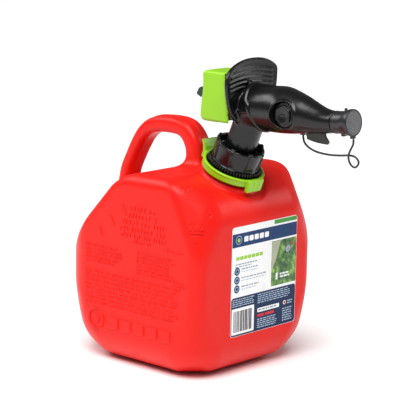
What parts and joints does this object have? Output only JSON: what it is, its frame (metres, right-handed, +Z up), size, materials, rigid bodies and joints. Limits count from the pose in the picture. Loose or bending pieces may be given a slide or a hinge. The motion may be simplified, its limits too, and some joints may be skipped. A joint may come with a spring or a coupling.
{
  "type": "fuel can",
  "caption": "Moulded fuel can with a loop handle and a swivelling, self-closing spout that a thumb trigger opens.",
  "frame": {"origin": "centre of the tank's flat base", "axes": "+X towards the front, where the label is and the spout points; +Y across the tank; +Z up"},
  "size_m": [0.2968, 0.168, 0.299],
  "materials": {
    "tank_plastic": "satin, moulded",
    "label_paper": "coated film",
    "arrestor_mesh": "woven",
    "green_plastic": "satin",
    "black_plastic": "matte",
    "spout_plastic": "semi-gloss",
    "hook_plastic": "matte",
    "latch_plastic": "matte",
    "seal_rubber": "matte",
    "inner_plastic": "natural",
    "spring_steel": "bright",
    "cap_plastic": "matte",
    "tether_plastic": "matte"
  },
  "bodies": {
    "tank": {"tank_shell": "tank_plastic", "front_label": "label_paper", "flame_arrestor": "arrestor_mesh"},
    "lock": {"lock_ring": "green_plastic"},
    "carrier": {"neck_gasket": "seal_rubber"},
    "collar": {"collar": "black_plastic"},
    "spout": {"spout_body": "spout_plastic", "side_plug": "black_plastic", "nozzle_hook": "hook_plastic", "swivel_seal": "seal_rubber", "rod_guide": "inner_plastic", "valve_seat": "inner_plastic", "rod_seal": "seal_rubber", "vent_tube": "inner_plastic", "return_spring": "spring_steel", "cap_tether": "tether_plastic"},
    "trigger": {"trigger_button": "green_plastic", "valve_rod": "inner_plastic", "valve_head": "inner_plastic", "valve_seal": "seal_rubber", "latch_pin": "spring_steel"},
    "latch": {"safety_latch": "latch_plastic"},
    "cap": {"nozzle_cap": "cap_plastic", "cap_liner": "seal_rubber"}
  },
  "joints": [
    {"name": "lock_release", "type": "slide", "parent": "tank", "child": "lock", "axis": [-0.3827, 0, -0.9239], "range_m": [0, 0.003], "stiffness_N_per_m": 500, "springref_m": -0.001},
    {"name": "collar_rise", "type": "slide", "parent": "tank", "child": "carrier", "axis": [0.3827, 0, 0.9239], "range_m": [0, 0.0075]},
    {"name": "collar_turn", "type": "hinge", "parent": "carrier", "child": "collar", "pos_m": [0.051, 0, 0.193], "axis": [0.3827, 0, 0.9239], "range_deg": [0, 540]},
    {"name": "spout_swivel", "type": "hinge", "parent": "carrier", "child": "spout", "pos_m": [0.051, 0, 0.193], "axis": [0.3827, 0, 0.9239], "continuous": true},
    {"name": "trigger_press", "type": "slide", "parent": "spout", "child": "trigger", "axis": [1, 0, 0], "range_m": [0, 0.006], "stiffness_N_per_m": 700, "springref_m": -0.004, "deforming": ["return_spring"]},
    {"name": "latch_release", "type": "hinge", "parent": "trigger", "child": "latch", "pos_m": [0.032, 0, 0.265], "axis": [0, -1, 0], "range_deg": [0, 10], "stiffness_Nm_per_rad": 0.2, "springref_deg": -4.58},
    {"name": "cap_pull", "type": "slide", "parent": "spout", "child": "cap", "axis": [0.9954, 0, 0.0958], "range_m": [0, 0.025], "deforming": ["cap_tether"]}
  ],
  "couplings": [
    {"joint": "collar_turn", "follows": "collar_rise", "rad_per_m": 1256.6}
  ]
}
